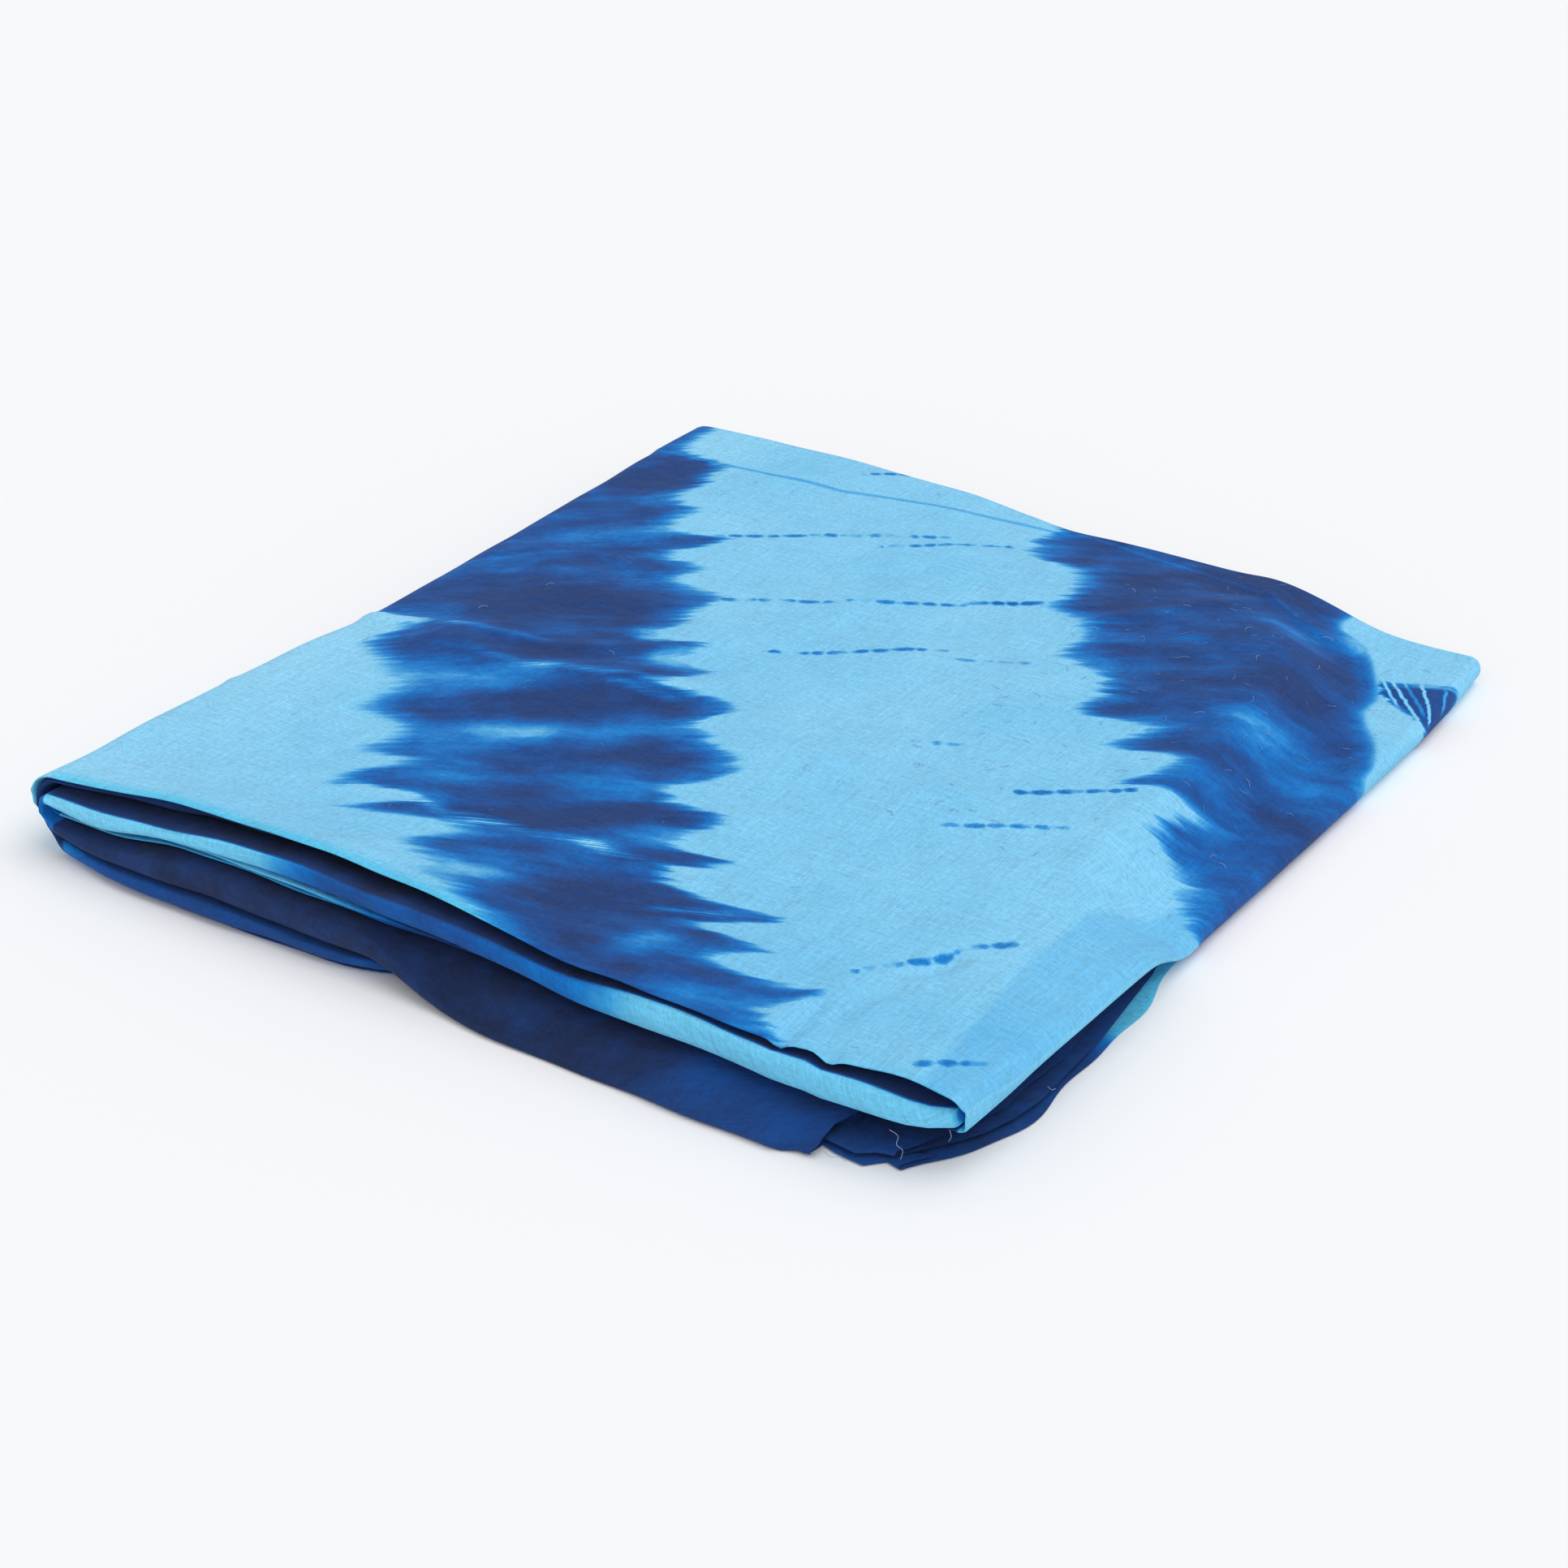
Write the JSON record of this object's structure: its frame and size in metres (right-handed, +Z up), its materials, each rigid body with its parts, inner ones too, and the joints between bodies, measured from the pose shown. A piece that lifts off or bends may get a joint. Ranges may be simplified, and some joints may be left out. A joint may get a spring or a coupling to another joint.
{
  "type": "folded shibori dyed cloth",
  "caption": "Thin cotton cloth with blue tie-dyed bands, pleated and folded into a flat uneven pad that lies on a surface.",
  "frame": {"origin": "on the surface under the middle of the folded pad", "axes": "+Z up through the layers, +Y along the long depth from the front edge with the loose layer edges to the back fold, +X to the right"},
  "size_m": [0.3952, 0.432, 0.0381],
  "materials": {
    "dyed_cotton": "matt woven cotton, dyed in light blue and dark navy bands with feathered edges"
  },
  "bodies": {
    "root": {"cloth": "dyed_cotton"}
  },
  "joints": []
}
